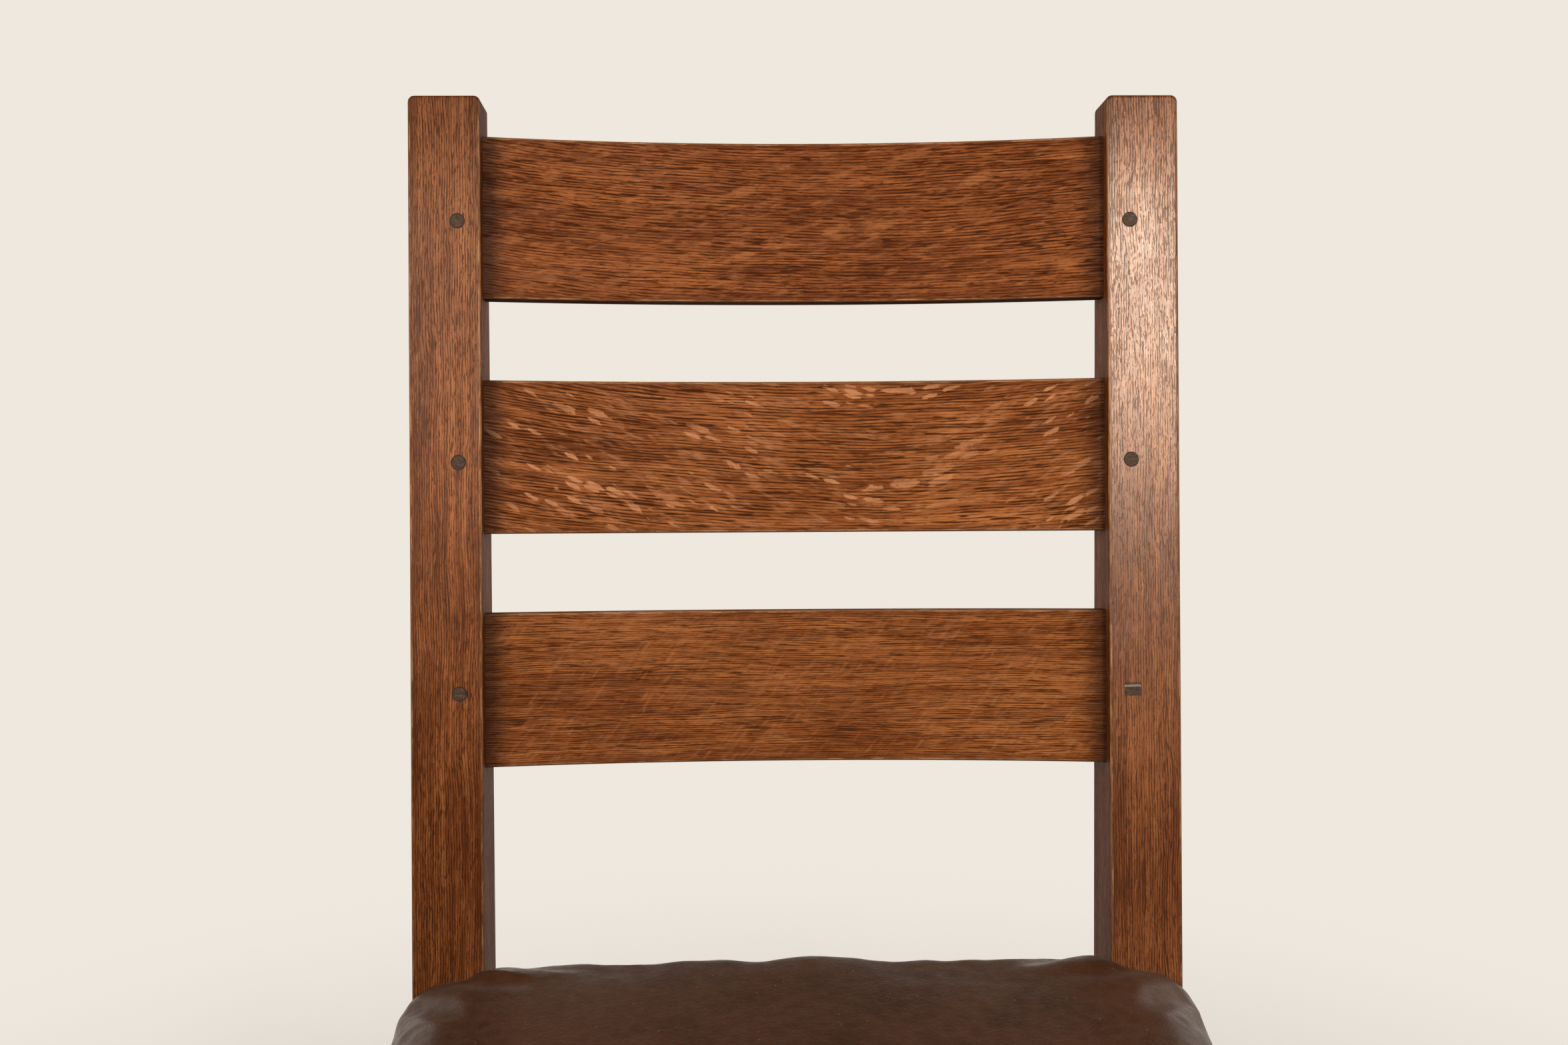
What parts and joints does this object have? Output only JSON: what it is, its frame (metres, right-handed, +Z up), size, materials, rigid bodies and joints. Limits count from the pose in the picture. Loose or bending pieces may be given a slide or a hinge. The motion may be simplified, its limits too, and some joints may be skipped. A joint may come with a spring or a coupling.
{
  "type": "ladder back side chair",
  "caption": "Armless oak side chair with bowed ladder slats pegged between canted square posts, straight legs, paired side stretchers and a crowned leather seat.",
  "frame": {"origin": "on the floor, under the middle of the whole chair's bounding box", "axes": "+X to the sitter's left, which is the right for someone who faces the chair, +Y towards the rear of the chair, +Z up"},
  "size_m": [0.5026, 0.6169, 0.9836],
  "materials": {
    "oak": "dark stained quarter-sawn oak, worn wax finish",
    "peg_oak": "dark stained end grain oak",
    "block_wood": "unfinished aged oak",
    "frame_wood": "unfinished aged poplar",
    "leather": "dark brown leather with a worn greyish sheen",
    "stuffing": "curled hair under cotton",
    "burlap": "coarse plain weave",
    "webbing": "jute twill with two dark lines",
    "steel": "dull aged steel",
    "tack_steel": "blued tack steel"
  },
  "bodies": {
    "root": {"rear_post_left": "oak", "rear_post_right": "oak", "front_leg_left": "oak", "front_leg_right": "oak", "top_slat": "oak", "middle_slat": "oak", "lower_slat": "oak", "front_seat_rail": "oak", "back_seat_rail": "oak", "side_seat_rail_left": "oak", "side_seat_rail_right": "oak", "front_stretcher": "oak", "rear_stretcher": "oak", "lower_side_stretcher_left": "oak", "lower_side_stretcher_right": "oak", "upper_side_stretcher_left": "oak", "upper_side_stretcher_right": "oak", "slat_pegs": "peg_oak", "slat_plug": "peg_oak", "rail_pegs": "peg_oak", "stretcher_pegs": "peg_oak", "corner_block_front_left": "block_wood", "corner_block_front_right": "block_wood", "corner_block_rear_left": "block_wood", "corner_block_rear_right": "block_wood", "corner_block_screws": "steel", "seat_screws": "steel", "seat_frame_front": "frame_wood", "seat_frame_rear": "frame_wood", "seat_frame_left": "frame_wood", "seat_frame_right": "frame_wood", "webbing_long_1": "webbing", "webbing_long_2": "webbing", "webbing_long_3": "webbing", "webbing_cross_1": "webbing", "webbing_cross_2": "webbing", "webbing_cross_3": "webbing", "webbing_tacks": "tack_steel", "burlap": "burlap", "stuffing": "stuffing", "leather_cover": "leather", "cover_tacks": "tack_steel"}
  },
  "joints": []
}
